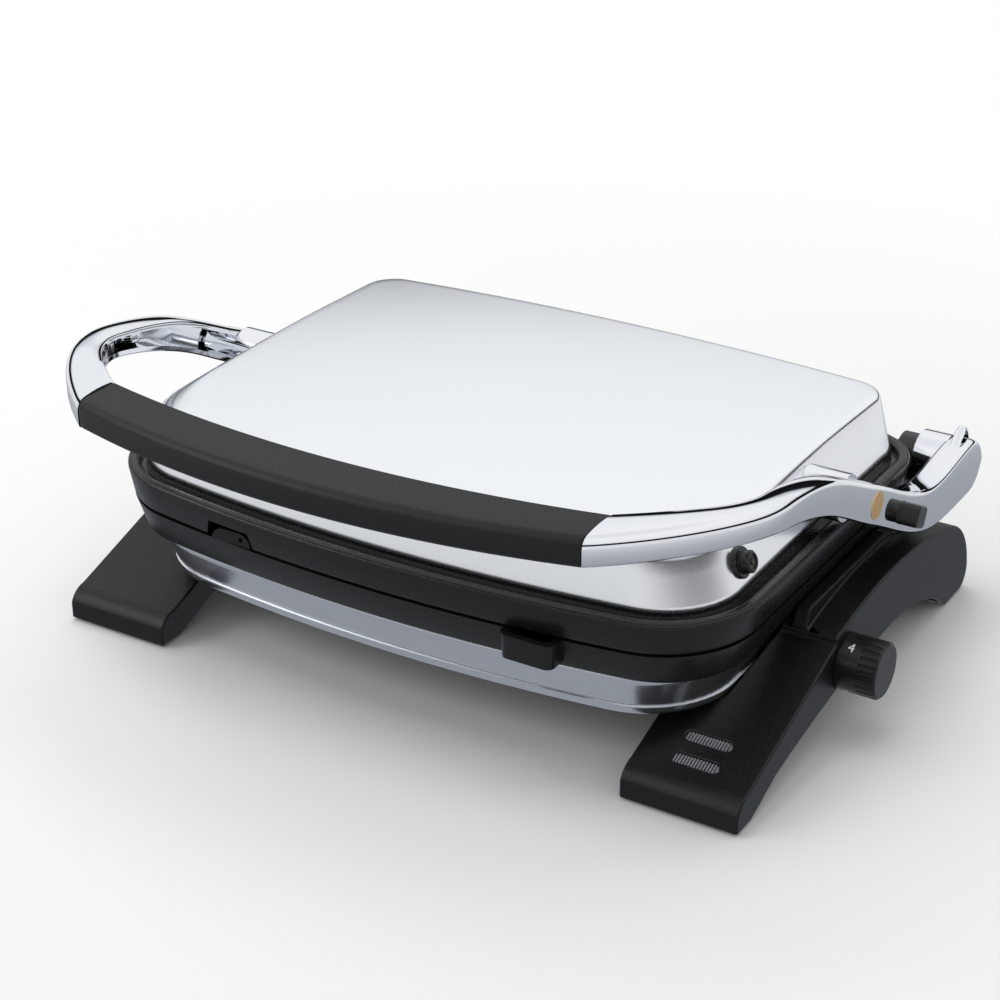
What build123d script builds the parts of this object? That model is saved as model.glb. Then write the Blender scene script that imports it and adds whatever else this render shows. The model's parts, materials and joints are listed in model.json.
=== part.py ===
from build123d import *
import os
from math import atan2, cos, degrees, radians, sin

os.makedirs("parts", exist_ok=True)

# Millimetres. X runs to the right and Y to the back, seen from the grip side, and Z up.
# The origin lies on the table, under the middle of the whole grill.
# Depths are counted backwards from the line of the front feet.

# Fits
fit_gap = 0.3  # between parts that only lie beside each other
run_gap = 0.05  # around a pin or screw that something turns on
screw_gap = 0.02  # around a shank that is held still

# Main hinge, where the arms swing
hinge_y = 257.0
hinge_z = 70.0
hub_radius = 14.5
hub_wall = 3.0
hinge_pin_radius = 4.0
bush_wall = 1.5

# Grip bar across the front
grip_reach = 60.5
grip_half = 129.5
grip_top = 148.0
grip_height = 14.0
grip_depth = 26.0
grip_bow = 18.0
core_depth = 12.0
core_height = 6.0
core_tongue = 12.0

# Arms
arm_outer = 184.0
arm_thick = 14.0
arm_wall = 3.0
arm_bend_start = 38.0
knee_y = 76.0
knee_top = 138.0
knee_bottom = 120.5
shank_y = 200.0
shank_top = 82.5
shank_bottom = 59.5
hub_reach = 27.0

# Pivot of the lid between the arms, and the lock beside it
pivot_y = 133.0
pivot_z = 102.0
pivot_radius = 4.0
pivot_head_radius = 6.75
pivot_head_depth = 2.4
pivot_boss_radius = 8.5
arm_half_depth = 10.5
lock_y = 147.5
lock_z = 94.0
lock_shaft_radius = 2.5
lock_collar_radius = 5.2
lock_collar_length = 8.0
lock_reach = 20.5
spring_wire = 0.9

# Cooking plates, meeting at the seam
seam_z = 71.3
seam_gap = 0.5
rim_half = 165.3
rim_lead = -5.8
rim_tail = 235.8
rim_corner = 48.0
rim_rear_corner = 28.0
bow_radius = 800.0
least_corner = 3.0
rim_flare = 3.0
rim_undercut = 5.0
rim_wall = 5.0
lower_rim_height = 16.0
upper_rim_height = 16.7
well_depth = 9.0
plate_thick = 4.0
rib_pitch = 13.0
rib_width = 4.5
rib_height = 5.0
rib_count = 22
rib_draft = 10.0
rib_margin = 10.0

# Details of the front rims
spout_x = 83.0
spout_width = 30.0
spout_reach = 6.5
spout_drop = 12.0
vent_x = -79.5
vent_width = 30.0
vent_height = 9.0
lip_width = 22.0
lip_height = 6.5

# Lid shell
lid_inset = 6.0
lid_top = 121.9
lid_top_half = 143.8
lid_top_lead = 8.0
lid_top_tail = 231.0
lid_top_corner = 32.0
lid_top_rear_corner = 13.0
lid_crown_radius = 2600.0
lid_edge = 5.0
lid_wall = 1.5

# Stop peg on the side of the lid
peg_y = 55.0
peg_z = 100.0
peg_flange_radius = 7.0
peg_flange = 3.0
peg_radius = 4.3
peg_length = 13.0

# Lower housing
housing_bottom = 32.0
housing_half = 157.0
housing_lead = 2.0
housing_tail = 228.5
housing_draft = 8.0
housing_wall = 1.5
housing_band = 5.0
housing_band_reach = 1.0
cover_thick = 2.5

# Side legs
leg_outer = 184.0
leg_width = 57.5
leg_wall = 3.0
leg_tip = 9.5
leg_nose_y = 10.0
leg_nose_z = 17.0
step_y = 97.0
step_z = 46.8
step_height = 3.5
crest_y = 170.0
crest_z = 57.0
heel_y = 238.0
heel_z = 45.5
leg_tail = 265.7
foot_front = 14.0
foot_rear = 20.0
arch_y = 172.0
arch_z = 25.4
standoff = 1.0
pad_thick = 2.5
pad_length = 40.0
shoulder_top = 60.0

# Thermostat and its dial
dial_y = 108.0
dial_z = 34.0
dial_radius = 13.6
dial_length = 20.0
dial_grooves = 24
spindle_radius = 3.0
thermostat_radius = 10.0
thermostat_length = 16.0

# Indicator lenses on the right leg
lens_length = 22.0
lens_width = 5.0
lens_depth = 3.5
lens_proud = 0.4
lens_x = 155.0
lens_first_y = 17.0
lens_pitch = 12.5

# Heating
element_radius = 3.2
element_side = 105.0
element_front = 40.0
element_back = 212.0
element_bend = 30.0
shield_thick = 0.8
shield_drop = 5.0
shield_margin = 12.0

# Screws, and the posts of the lower plate that they go into
screw_radius = 1.7
screw_head_radius = 3.4
screw_head = 1.8
post_radius = 4.5
post_x = 140.0
post_first_y = 85.0
post_pitch = 80.0
post_bite = 12.0

# Wiring at the back
gland_x = -90.0
gland_z = 45.5
gland_radius = 6.0
gland_bore = 3.6
gland_length = 12.0
fuse_radius = 3.0
fuse_length = 24.0
block_x = -60.0
block_length = 44.0
block_depth = 14.0
block_height = 10.0

# Hinge brackets
ear_thick = 9.5
ear_radius = 11.0
flange_thick = 3.0
flange_width = 30.0
flange_height = 16.0

# Derived places
hub_gap = 0.5
arm_inner = arm_outer - arm_thick
hub_inner = arm_outer - hub_reach
front = (grip_reach - (hinge_y + hub_radius)) / 2
upper_seam = seam_z + seam_gap
lower_rim_bottom = seam_z - lower_rim_height
upper_rim_top = upper_seam + upper_rim_height
well_floor = seam_z - well_depth
ceiling = upper_seam + well_depth
lid_skirt = ceiling + plate_thick + fit_gap
grip_bottom = grip_top - grip_height
ramp_angle = degrees(atan2(step_z - leg_nose_z, step_y - leg_nose_y))
grip_middle_z = (grip_top + grip_bottom) / 2

plan = Plane(origin=(0, front, 0))
side = Plane(origin=(0, front, 0), x_dir=(0, 1, 0), z_dir=(1, 0, 0))


def save(part, name):
    """Label a finished piece and write it under its own name."""
    part.label = name
    export_step(part, f"parts/{name}.step")


def hand_sides(part, name):
    """Write a piece of the right side and its mirror image on the left."""
    save(part, f"right_{name}")
    save(mirror(part, about=Plane.YZ), f"left_{name}")


def tray(height, half, lead, tail, corner, rear_corner):
    """Plan outline with a bowed front and rounded corners, at a height."""
    drop = half**2 / (2 * bow_radius)
    with BuildSketch(plan.offset(height)) as outline:
        with BuildLine():
            nose = ThreePointArc((-half, lead + drop), (0, lead), (half, lead + drop))
            Polyline(nose @ 1, (half, tail), (-half, tail), nose @ 0)
        make_face()
        fillet(outline.vertices().group_by(Axis.Y)[0], max(corner, least_corner))
        fillet(outline.vertices().group_by(Axis.Y)[-1], max(rear_corner, least_corner))
    return outline.sketch


def rim(height, grow):
    """Outline of the plates' rim, grown outwards."""
    return tray(height, rim_half + grow, rim_lead - grow, rim_tail + grow,
                rim_corner + grow, rim_rear_corner + grow)


def housing(height, grow):
    """Outline of the lower housing, which draws in towards its bottom."""
    sink = (lower_rim_bottom - height) / (lower_rim_bottom - housing_bottom)
    draw = housing_draft * sink
    return tray(height, housing_half - draw + grow, housing_lead + draw - grow,
                housing_tail + grow, rim_corner - draw / 2 + grow, rim_rear_corner + grow)


def lid_outline(share, grow):
    """Outline of the lid between its skirt and its top."""
    def between(low, high):
        return low + (high - low) * share

    height = between(lid_skirt, lid_top + lid_edge)
    return tray(height, between(rim_half - lid_inset, lid_top_half) + grow,
                between(rim_lead + lid_inset, lid_top_lead) - grow,
                between(rim_tail - lid_inset, lid_top_tail) + grow,
                between(rim_corner - lid_inset, lid_top_corner) + grow,
                between(rim_rear_corner - lid_inset, lid_top_rear_corner) + grow)


def rib_field(height, tall):
    """Cooking ribs that run from front to back, clipped to the well of a plate."""
    length = rim_tail - rim_lead - 2 * rib_margin
    middle = (rim_tail + rim_lead) / 2
    with BuildPart() as field:
        with BuildSketch(plan.offset(height)):
            with Locations((0, middle)):
                with GridLocations(rib_pitch, 0, rib_count, 1):
                    Rectangle(rib_width, length)
        extrude(amount=tall, taper=rib_draft)
        extrude(rim(min(height, height + tall), -rim_wall - rib_margin / 2),
                amount=abs(tall), mode=Mode.INTERSECT)
    return field.part


def element_path(height):
    """Centre line of a heating element: one long loop, open at the back."""
    quarter = element_side / 3
    with BuildLine(plan.offset(height)) as path:
        FilletPolyline(
            (-quarter, element_back), (-quarter, element_front + element_bend * 2),
            (-element_side, element_front + element_bend * 2), (-element_side, element_front),
            (element_side, element_front), (element_side, element_front + element_bend * 2),
            (quarter, element_front + element_bend * 2), (quarter, element_back),
            radius=element_bend * 0.45)
    return path.line


def element(height):
    """Tubular heating element."""
    path = element_path(height)
    with BuildPart() as tube:
        with BuildSketch(Plane(origin=path @ 0, z_dir=path % 0)):
            Circle(element_radius)
        sweep(path=path)
    return tube.part


def at_posts(height):
    """Places of the four posts, at a height."""
    middle = front + post_first_y + post_pitch / 2
    return [Location((x, middle + y, height))
            for x in (-post_x, post_x) for y in (-post_pitch / 2, post_pitch / 2)]


# Lower cooking plate: die-cast, with a rim, ribs and a drip spout
with BuildPart() as lower_plate:
    loft([rim(lower_rim_bottom, -rim_undercut), rim(seam_z, 0)])
    loft([rim(well_floor, -rim_wall - 2), rim(seam_z, -rim_wall)], mode=Mode.SUBTRACT)
    extrude(rim(lower_rim_bottom, -rim_undercut - rim_wall),
            amount=well_floor - plate_thick - lower_rim_bottom, mode=Mode.SUBTRACT)
    add(rib_field(well_floor, rib_height))
    post_low = housing_bottom + cover_thick + fit_gap
    for place in at_posts(post_low):
        with BuildSketch(Plane(place)):
            Circle(post_radius)
        extrude(amount=well_floor - plate_thick - post_low)
        with BuildSketch(Plane(place)):
            Circle(screw_radius + screw_gap)
        extrude(amount=post_bite, mode=Mode.SUBTRACT)
    spout_lead = rim_lead + spout_x**2 / (2 * bow_radius) - spout_reach
    with BuildSketch(plan.offset(seam_z - spout_drop)):
        with Locations((spout_x, spout_lead + spout_width / 2)):
            RectangleRounded(spout_width - 4, spout_width, 4)
        with Locations((spout_x, spout_lead + spout_width / 2 + rim_wall + spout_reach)):
            Rectangle(spout_width, spout_width, mode=Mode.SUBTRACT)
    extrude(amount=spout_drop, taper=-4)
    with BuildSketch(plan.offset(seam_z - spout_drop + 3)):
        with Locations((spout_x, spout_lead + spout_width / 2 + 2.5)):
            RectangleRounded(spout_width - 9, spout_width, 3)
    extrude(amount=spout_drop, mode=Mode.SUBTRACT)
    lip_lead = rim_lead + vent_x**2 / (2 * bow_radius) + 0.5
    with BuildSketch(Plane(origin=(vent_x, front + lip_lead, seam_z), x_dir=(1, 0, 0),
                           z_dir=(0, 1, 0))):
        SlotOverall(lip_width, 2 * lip_height)
        with Locations((0, lip_height)):
            Rectangle(lip_width, 2 * lip_height, mode=Mode.SUBTRACT)
        with Locations((lip_width / 4, -lip_height / 2)):
            Circle(1.2, mode=Mode.SUBTRACT)
    extrude(amount=2.5)
save(lower_plate.part, "lower_plate")

# Upper cooking plate: the same casting turned over, with a deeper outer rim and a steam vent
with BuildPart() as upper_plate:
    loft([rim(upper_seam, 0), rim(upper_rim_top, rim_flare)])
    loft([rim(upper_seam, -rim_wall), rim(ceiling, -rim_wall - 2)], mode=Mode.SUBTRACT)
    extrude(rim(ceiling + plate_thick, -rim_wall + 1),
            amount=upper_rim_top - ceiling, mode=Mode.SUBTRACT)
    add(rib_field(ceiling, -rib_height))
    with BuildSketch(Plane(origin=(vent_x, front + rim_lead - 10, upper_seam), x_dir=(1, 0, 0),
                           z_dir=(0, 1, 0))):
        with BuildLine():
            Polyline((-vent_width / 2, 1), (-vent_width / 2 + 3, -vent_height),
                     (vent_width / 2 - 3, -vent_height), (vent_width / 2, 1), close=True)
        make_face()
    extrude(amount=10 + rim_wall + 8, mode=Mode.SUBTRACT)
save(upper_plate.part, "upper_plate")

# Lid shell: one pressing with sloping sides and a crowned top
with BuildPart() as lid_form:
    loft([lid_outline(0, 0), lid_outline(1, 0)])
    with Locations((0, front + (rim_lead + rim_tail) / 2, lid_top - lid_crown_radius)):
        Sphere(lid_crown_radius, rotation=(90, 0, 0), mode=Mode.INTERSECT)
    fillet(lid_form.faces().sort_by(Axis.Z)[-1].edges(), lid_edge)
with BuildPart() as lid_core:
    loft([lid_outline(0, -lid_wall), lid_outline(1, -lid_wall)])
    with Locations((0, front + (rim_lead + rim_tail) / 2, lid_top - lid_crown_radius)):
        Sphere(lid_crown_radius - lid_wall, rotation=(90, 0, 0), mode=Mode.INTERSECT)
    fillet(lid_core.faces().sort_by(Axis.Z)[-1].edges(), lid_edge - lid_wall)
with BuildPart() as lid_shell:
    add(lid_form.part)
    add(lid_core.part, mode=Mode.SUBTRACT)
save(lid_shell.part, "lid_shell")

# Heating elements, clamped against the backs of the plates, and their heat shields
lower_element_z = well_floor - plate_thick - fit_gap - element_radius
upper_element_z = ceiling + plate_thick + fit_gap + element_radius
save(element(lower_element_z), "lower_element")
save(element(upper_element_z), "upper_element")

with BuildPart() as lower_shield:
    shield_top = lower_element_z - element_radius - fit_gap
    margin = housing_half - post_x + post_radius + 2
    extrude(housing(shield_top - shield_thick - shield_drop, -margin),
            amount=shield_thick + shield_drop)
    extrude(housing(shield_top - shield_drop, -margin - shield_thick), amount=shield_drop,
            mode=Mode.SUBTRACT)
save(lower_shield.part, "lower_shield")

with BuildPart() as upper_shield:
    shield_low = upper_element_z + element_radius + fit_gap
    with BuildSketch(plan.offset(shield_low)):
        with Locations((0, (rim_lead + rim_tail) / 2)):
            RectangleRounded(2 * (element_side + shield_margin),
                             element_back - element_front + 2 * shield_margin, shield_margin)
    extrude(amount=shield_thick)
save(upper_shield.part, "upper_shield")

# Lower housing: a drawn steel pan with a rolled band at its bottom edge
with BuildPart() as base_housing:
    housing_top = lower_rim_bottom - fit_gap
    loft([housing(housing_bottom, 0), housing(housing_top, 0)])
    extrude(housing(housing_bottom, housing_band_reach), amount=housing_band)
    loft([housing(housing_bottom, -housing_wall), housing(housing_top, -housing_wall)],
         mode=Mode.SUBTRACT)
    with BuildSketch(Plane(origin=(gland_x, front + housing_tail + 5, gland_z),
                           x_dir=(1, 0, 0), z_dir=(0, -1, 0))):
        Circle(gland_radius + screw_gap)
    extrude(amount=10, mode=Mode.SUBTRACT)
    for place in at_posts(housing_bottom):
        with BuildSketch(Plane(place)):
            Circle(screw_radius + fit_gap)
        extrude(amount=housing_wall, mode=Mode.SUBTRACT)
save(base_housing.part, "base_housing")

# Rubber gland that the cord would come in by
with BuildPart() as cord_gland:
    wall = Plane(origin=(gland_x, front + housing_tail, gland_z), x_dir=(1, 0, 0), z_dir=(0, 1, 0))
    with BuildSketch(wall.offset(-housing_wall - 2)):
        Circle(gland_radius)
    extrude(amount=housing_wall + 2)
    with BuildSketch(wall):
        Circle(gland_radius + 2)
    extrude(amount=2)
    with BuildSketch(wall.offset(2)):
        Circle(gland_radius)
    extrude(amount=gland_length - 2, taper=6)
    with BuildSketch(wall.offset(-housing_wall - 3)):
        Circle(gland_bore)
    extrude(amount=gland_length + 10, mode=Mode.SUBTRACT)
save(cord_gland.part, "cord_gland")

with BuildPart() as base_cover:
    extrude(housing(housing_bottom, -housing_wall - fit_gap), amount=cover_thick)
    with BuildSketch(plan.offset(housing_bottom)):
        with Locations((0, (housing_lead + housing_tail) / 2)):
            with GridLocations(12, 60, 9, 2):
                SlotOverall(34, 4, rotation=90)
    extrude(amount=cover_thick, mode=Mode.SUBTRACT)
    for place in at_posts(housing_bottom):
        with BuildSketch(Plane(place)):
            Circle(screw_radius + fit_gap)
        extrude(amount=cover_thick, mode=Mode.SUBTRACT)
save(base_cover.part, "base_cover")

# Terminal block on the cover, and thermal fuses against the backs of the plates
with BuildPart() as terminal_block:
    with BuildSketch(plan.offset(housing_bottom + cover_thick)):
        with Locations((block_x, housing_tail - 30)):
            Rectangle(block_length, block_depth)
            with GridLocations(block_length / 4, 0, 3, 1):
                Circle(2.5, mode=Mode.SUBTRACT)
    extrude(amount=block_height)
    with BuildSketch(plan.offset(housing_bottom + cover_thick)):
        with Locations((block_x, housing_tail - 30)):
            Rectangle(block_length, block_depth)
    extrude(amount=2)
save(terminal_block.part, "terminal_block")

for name, height in (("lower_fuse", lower_element_z + element_radius - fuse_radius),
                     ("upper_fuse", upper_element_z - element_radius + fuse_radius)):
    with BuildPart() as fuse:
        with BuildSketch(Plane(origin=(-fuse_length / 2, front + element_front + 90, height),
                               z_dir=(1, 0, 0))):
            Circle(fuse_radius)
        extrude(amount=fuse_length)
        chamfer(fuse.edges(), 0.8)
    save(fuse.part, name)


def leg_outline(grow):
    """Side view of a leg, from the front tip over the crest to the heel."""
    with BuildSketch(side) as outline:
        with BuildLine():
            Line((0, standoff), (0, leg_tip))
            ThreePointArc((0, leg_tip), (3, leg_nose_z - 3), (leg_nose_y, leg_nose_z))
            Line((leg_nose_y, leg_nose_z), (step_y, step_z))
            Line((step_y, step_z), (step_y, step_z + step_height))
            ThreePointArc((step_y, step_z + step_height), (crest_y, crest_z), (heel_y, heel_z))
            ThreePointArc((heel_y, heel_z), (leg_tail - 7.5, heel_z - 14), (leg_tail, 14))
            ThreePointArc((leg_tail, 14), (leg_tail - 1.5, 5), (heel_y + foot_rear, standoff))
            Line((heel_y + foot_rear, standoff), (0, standoff))
        make_face()
        if grow:
            offset(amount=grow, kind=Kind.INTERSECTION)
    return outline.sketch


def arch():
    """Opening under a leg, between its front and rear feet."""
    with BuildSketch(side) as opening:
        with BuildLine():
            Line((foot_front, standoff - 2), (foot_front, standoff))
            Line((foot_front, standoff), (38, 10.4))
            ThreePointArc((38, 10.4), (104.7, 21.9), (arch_y, arch_z))
            ThreePointArc((arch_y, arch_z), (215, 15.5), (heel_y, standoff))
            Polyline((heel_y, standoff), (heel_y, standoff - 2), (foot_front, standoff - 2))
        make_face()
    return opening.sketch


# Right hinge bracket: an ear for the hinge pin on a flange behind the housing
ear_outer = hub_inner - hub_gap
bracket_y = housing_tail + fit_gap
bracket_low = housing_bottom + housing_band + fit_gap


def bracket_form(grow):
    """Hinge bracket before boring, grown by a clearance all round."""
    with BuildPart() as form:
        with BuildSketch(side.offset(ear_outer - ear_thick - grow)):
            with BuildLine():
                Polyline((bracket_y, bracket_low), (bracket_y, bracket_low + flange_height),
                         (hinge_y - ear_radius + 1, hinge_z + 4),
                         (hinge_y + ear_radius - 1, hinge_z - 6),
                         (hinge_y, bracket_low), close=True)
            make_face()
            with Locations((hinge_y, hinge_z)):
                Circle(ear_radius)
            if grow:
                offset(amount=grow, kind=Kind.INTERSECTION)
        extrude(amount=ear_thick + 2 * grow)
        with BuildSketch(side.offset(ear_outer - ear_thick - flange_width - grow)):
            with Locations((bracket_y + flange_thick / 2, bracket_low + flange_height / 2)):
                Rectangle(flange_thick + 2 * grow, flange_height + 2 * grow)
        extrude(amount=flange_width + ear_thick + 2 * grow)
    return form.part


with BuildPart() as hinge_bracket:
    add(bracket_form(0))
    with BuildSketch(side.offset(ear_outer - ear_thick)):
        with Locations((hinge_y, hinge_z)):
            Circle(hinge_pin_radius + screw_gap)
    extrude(amount=ear_thick, mode=Mode.SUBTRACT)
    fillet(hinge_bracket.edges().filter_by(Axis.Y).group_by(Axis.X)[0], 5)
hand_sides(hinge_bracket.part, "hinge_bracket")

with BuildPart() as hinge_pin:
    with BuildSketch(side.offset(ear_outer - ear_thick)):
        with Locations((hinge_y, hinge_z)):
            Circle(hinge_pin_radius)
    extrude(amount=arm_outer - arm_wall - fit_gap - ear_outer + ear_thick)
    with BuildSketch(side.offset(ear_outer - ear_thick - 2.5)):
        with Locations((hinge_y, hinge_z)):
            Circle(hinge_pin_radius + 2.5)
    extrude(amount=2.5)
hand_sides(hinge_pin.part, "hinge_pin")


def leg(with_controls):
    """Right leg: a hollow moulding that saddles the housing and runs down to both feet."""
    inner = leg_outer - leg_width
    with BuildPart() as pocket:
        extrude(leg_outline(-leg_wall), amount=leg_outer - leg_wall)
        extrude(leg_outline(-leg_wall), amount=inner + leg_wall, mode=Mode.SUBTRACT)
        with BuildSketch(side.offset(inner + leg_wall)):
            with Locations(((foot_front + heel_y) / 2 + 3, 8)):
                Rectangle(heel_y - foot_front - 14, 20)
        extrude(amount=leg_width - 2 * leg_wall)
        loft([housing(housing_bottom - leg_wall - fit_gap, leg_wall + 2),
              housing(seam_z, leg_wall + 2)], mode=Mode.SUBTRACT)
    with BuildPart() as moulding:
        extrude(leg_outline(0), amount=leg_outer)
        extrude(leg_outline(0), amount=inner, mode=Mode.SUBTRACT)
        with BuildSketch(side.offset(rim_half - 4)):
            with BuildLine():
                Polyline((step_y, step_z), (step_y + 4, shoulder_top), (heel_y - 50, shoulder_top),
                         (heel_y - 12, heel_z), close=True)
            make_face()
        extrude(amount=arm_inner - fit_gap - 1 - rim_half + 4)
        fillet(moulding.edges().filter_by(Axis.X).group_by(Axis.Z)[-1], 3)
        extrude(arch(), amount=leg_outer, mode=Mode.SUBTRACT)
        loft([housing(housing_bottom - fit_gap, fit_gap + housing_band_reach),
              housing(seam_z, fit_gap + housing_band_reach)], mode=Mode.SUBTRACT)
        loft([rim(lower_rim_bottom - fit_gap, fit_gap - rim_undercut),
              rim(seam_z, fit_gap)], mode=Mode.SUBTRACT)
        add(pocket.part, mode=Mode.SUBTRACT)
        add(bracket_form(fit_gap), mode=Mode.SUBTRACT)
        with BuildSketch(plan):
            for y, deep in ((foot_front / 2, foot_front), (heel_y + foot_rear / 2, foot_rear)):
                with Locations((leg_outer - leg_width / 2, y)):
                    RectangleRounded(pad_length + 2 * fit_gap, deep - 5 + 2 * fit_gap, 2)
        extrude(amount=pad_thick + fit_gap, mode=Mode.SUBTRACT)
        for place in at_posts(housing_bottom - fit_gap - leg_wall - 3)[2:]:
            with BuildSketch(Plane(place)):
                Circle(screw_radius + fit_gap)
            extrude(amount=leg_wall + 6, mode=Mode.SUBTRACT)
        if with_controls:
            with BuildSketch(side.offset(leg_outer - leg_wall)):
                with Locations((dial_y, dial_z)):
                    Circle(spindle_radius + fit_gap)
            extrude(amount=leg_wall, mode=Mode.SUBTRACT)
            for row in range(2):
                with BuildSketch(lens_plane(row)):
                    SlotOverall(lens_length + 2 * fit_gap, lens_width + 2 * fit_gap)
                extrude(amount=-lens_depth - 4, mode=Mode.SUBTRACT)
    return moulding.part


def lens_plane(row):
    """Plane on the ramp of the leg, at the middle of an indicator lens."""
    along = lens_first_y + lens_pitch * row
    rise = leg_nose_z + (along - leg_nose_y) * sin(radians(ramp_angle)) / cos(radians(ramp_angle))
    return Plane(origin=(lens_x, front + along, rise), x_dir=(1, 0, 0),
                 z_dir=(0, -sin(radians(ramp_angle)), cos(radians(ramp_angle))))


save(leg(True), "right_leg")
save(mirror(leg(False), about=Plane.YZ), "left_leg")

# Screws that hold the legs, the cover and the housing to the lower plate
with BuildPart() as base_screws:
    screw_seat = housing_bottom - fit_gap - leg_wall - screw_head
    for place in at_posts(screw_seat):
        with BuildSketch(Plane(place)):
            Circle(screw_head_radius)
        extrude(amount=screw_head)
        with BuildSketch(Plane(place)):
            Circle(screw_radius)
        extrude(amount=post_low + post_bite - 1 - screw_seat)
save(base_screws.part, "base_screws")

for row, name in enumerate(("power_lens", "ready_lens")):
    with BuildPart() as lens:
        with BuildSketch(lens_plane(row).offset(-lens_depth)):
            SlotOverall(lens_length, lens_width)
        extrude(amount=lens_depth + lens_proud)
        with BuildSketch(lens_plane(row).offset(lens_proud)):
            with GridLocations(1.6, 0, 10, 1):
                Rectangle(0.8, lens_width - 1.2)
        extrude(amount=-0.5, mode=Mode.SUBTRACT)
    save(lens.part, name)

with BuildPart() as lamp_holder:
    with BuildSketch(lens_plane(0.5).offset(-lens_depth - fit_gap)):
        Rectangle(lens_length, lens_pitch + lens_width)
    extrude(amount=-6)
save(lamp_holder.part, "lamp_holder")

with BuildPart() as rubber_feet:
    with BuildSketch(plan):
        for y, deep in ((foot_front / 2, foot_front), (heel_y + foot_rear / 2, foot_rear)):
            for hand in (-1, 1):
                with Locations((hand * (leg_outer - leg_width / 2), y)):
                    RectangleRounded(pad_length, deep - 5, 2)
    extrude(amount=pad_thick)
save(rubber_feet.part, "rubber_feet")

# Thermostat behind the right leg's wall, and the dial that turns it
with BuildPart() as thermostat:
    with BuildSketch(side.offset(leg_outer - leg_wall - fit_gap - thermostat_length)):
        with Locations((dial_y, dial_z)):
            Circle(thermostat_radius)
            Circle(spindle_radius + run_gap, mode=Mode.SUBTRACT)
    extrude(amount=thermostat_length)
save(thermostat.part, "thermostat")

with BuildPart() as thermostat_dial:
    with BuildSketch(side.offset(leg_outer + fit_gap)):
        with Locations((dial_y, dial_z)):
            Circle(dial_radius)
    extrude(amount=dial_length - fit_gap)
    chamfer(thermostat_dial.faces().sort_by(Axis.X)[-1].edges(), 1.2)
    with BuildSketch(side.offset(leg_outer + dial_length * 0.55)):
        with Locations((dial_y, dial_z)):
            with PolarLocations(dial_radius, dial_grooves):
                Circle(0.7)
    extrude(amount=dial_length, mode=Mode.SUBTRACT)
    with BuildSketch(side.offset(leg_outer + dial_length - 6)):
        with Locations((dial_y, dial_z)):
            Circle(spindle_radius + screw_gap)
    extrude(amount=-dial_length, mode=Mode.SUBTRACT)
save(thermostat_dial.part, "thermostat_dial")

with BuildPart() as dial_spindle:
    spindle_inner = leg_outer - leg_wall - fit_gap - thermostat_length / 2
    with BuildSketch(side.offset(spindle_inner)):
        with Locations((dial_y, dial_z)):
            Circle(spindle_radius)
    extrude(amount=leg_outer + dial_length - 6 - spindle_inner)
save(dial_spindle.part, "dial_spindle")


def grip_screw_form(grow):
    """Screw from under the right arm into the end of the grip's core."""
    seat = Plane(origin=(grip_half + core_tongue / 2,
                         front + grip_bow - grip_reach + grip_depth / 2 + 4, grip_bottom - 1))
    with BuildPart() as screw:
        with BuildSketch(seat):
            Circle(screw_head_radius + grow)
        extrude(amount=screw_head)
        with BuildSketch(seat):
            Circle(screw_radius + grow)
        extrude(amount=grip_middle_z + core_height / 2 - 1 - grip_bottom)
    return screw.part


# Steel core that ties the arms together inside the grip
def grip_plan(depth, reach, half):
    """Bowed plan of the grip or its core."""
    with BuildSketch(plan) as outline:
        with BuildLine():
            lead = ThreePointArc((-half, grip_bow - reach), (0, -reach), (half, grip_bow - reach))
            back = ThreePointArc((half, grip_bow - reach + depth),
                                 (0, depth - reach + 3), (-half, grip_bow - reach + depth))
            Line(lead @ 1, back @ 0)
            Line(back @ 1, lead @ 0)
        make_face()
    return outline.sketch


with BuildPart() as core:
    inset = (grip_depth - core_depth) / 2
    extrude(grip_plan(core_depth, grip_reach - inset, grip_half + core_tongue), amount=grip_top)
    with BuildSketch(plan.offset(grip_middle_z - core_height / 2)):
        Rectangle(500, 500)
    extrude(amount=core_height, mode=Mode.INTERSECT)
    add(grip_screw_form(screw_gap), mode=Mode.SUBTRACT)
    add(mirror(grip_screw_form(screw_gap), about=Plane.YZ), mode=Mode.SUBTRACT)
save(core.part, "grip_core")


def arm_plan(inset):
    """Plan view of an arm: it leaves the grip, bends round the corner and runs back."""
    lead = grip_bow - grip_reach
    with BuildSketch(plan) as outline:
        with BuildLine():
            outer = Spline((grip_half, lead), (arm_outer - inset, arm_bend_start),
                           tangents=((0.8, 0.6), (0, 1)))
            Polyline(outer @ 1, (arm_outer - inset, hinge_y + hub_radius + 1),
                     (arm_inner + inset, hinge_y + hub_radius + 1),
                     (arm_inner + inset, arm_bend_start))
            inner = Spline((arm_inner + inset, arm_bend_start), (grip_half, lead + grip_depth),
                           tangents=((0, -1), (-0.8, -0.6)))
            Line(inner @ 1, outer @ 0)
        make_face()
    return outline.sketch


def arm_side(inset):
    """Side view of an arm: level at the grip, swept down past the pivot to the hub."""
    lead = -grip_reach
    with BuildSketch(side) as outline:
        with BuildLine():
            top = Spline((lead, grip_top - inset), (10, grip_top + 1 - inset),
                         (knee_y, knee_top - inset),
                         (pivot_y, pivot_z + arm_half_depth - inset),
                         (shank_y, shank_top - inset), (hinge_y, hinge_z + hub_radius - inset),
                         tangents=((1, 0), (1, 0)))
            tail = ThreePointArc(top @ 1, (hinge_y + hub_radius - inset, hinge_z),
                                 (hinge_y, hinge_z - hub_radius + inset))
            low = Spline(tail @ 1, (shank_y, shank_bottom + inset),
                         (pivot_y, pivot_z - arm_half_depth + inset),
                         (knee_y, knee_bottom + inset), (25, grip_bottom - 0.5 + inset),
                         (lead, grip_bottom + inset), tangents=((-1, 0), (-1, 0)))
            Line(low @ 1, top @ 0)
        make_face()
    return outline.sketch


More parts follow.
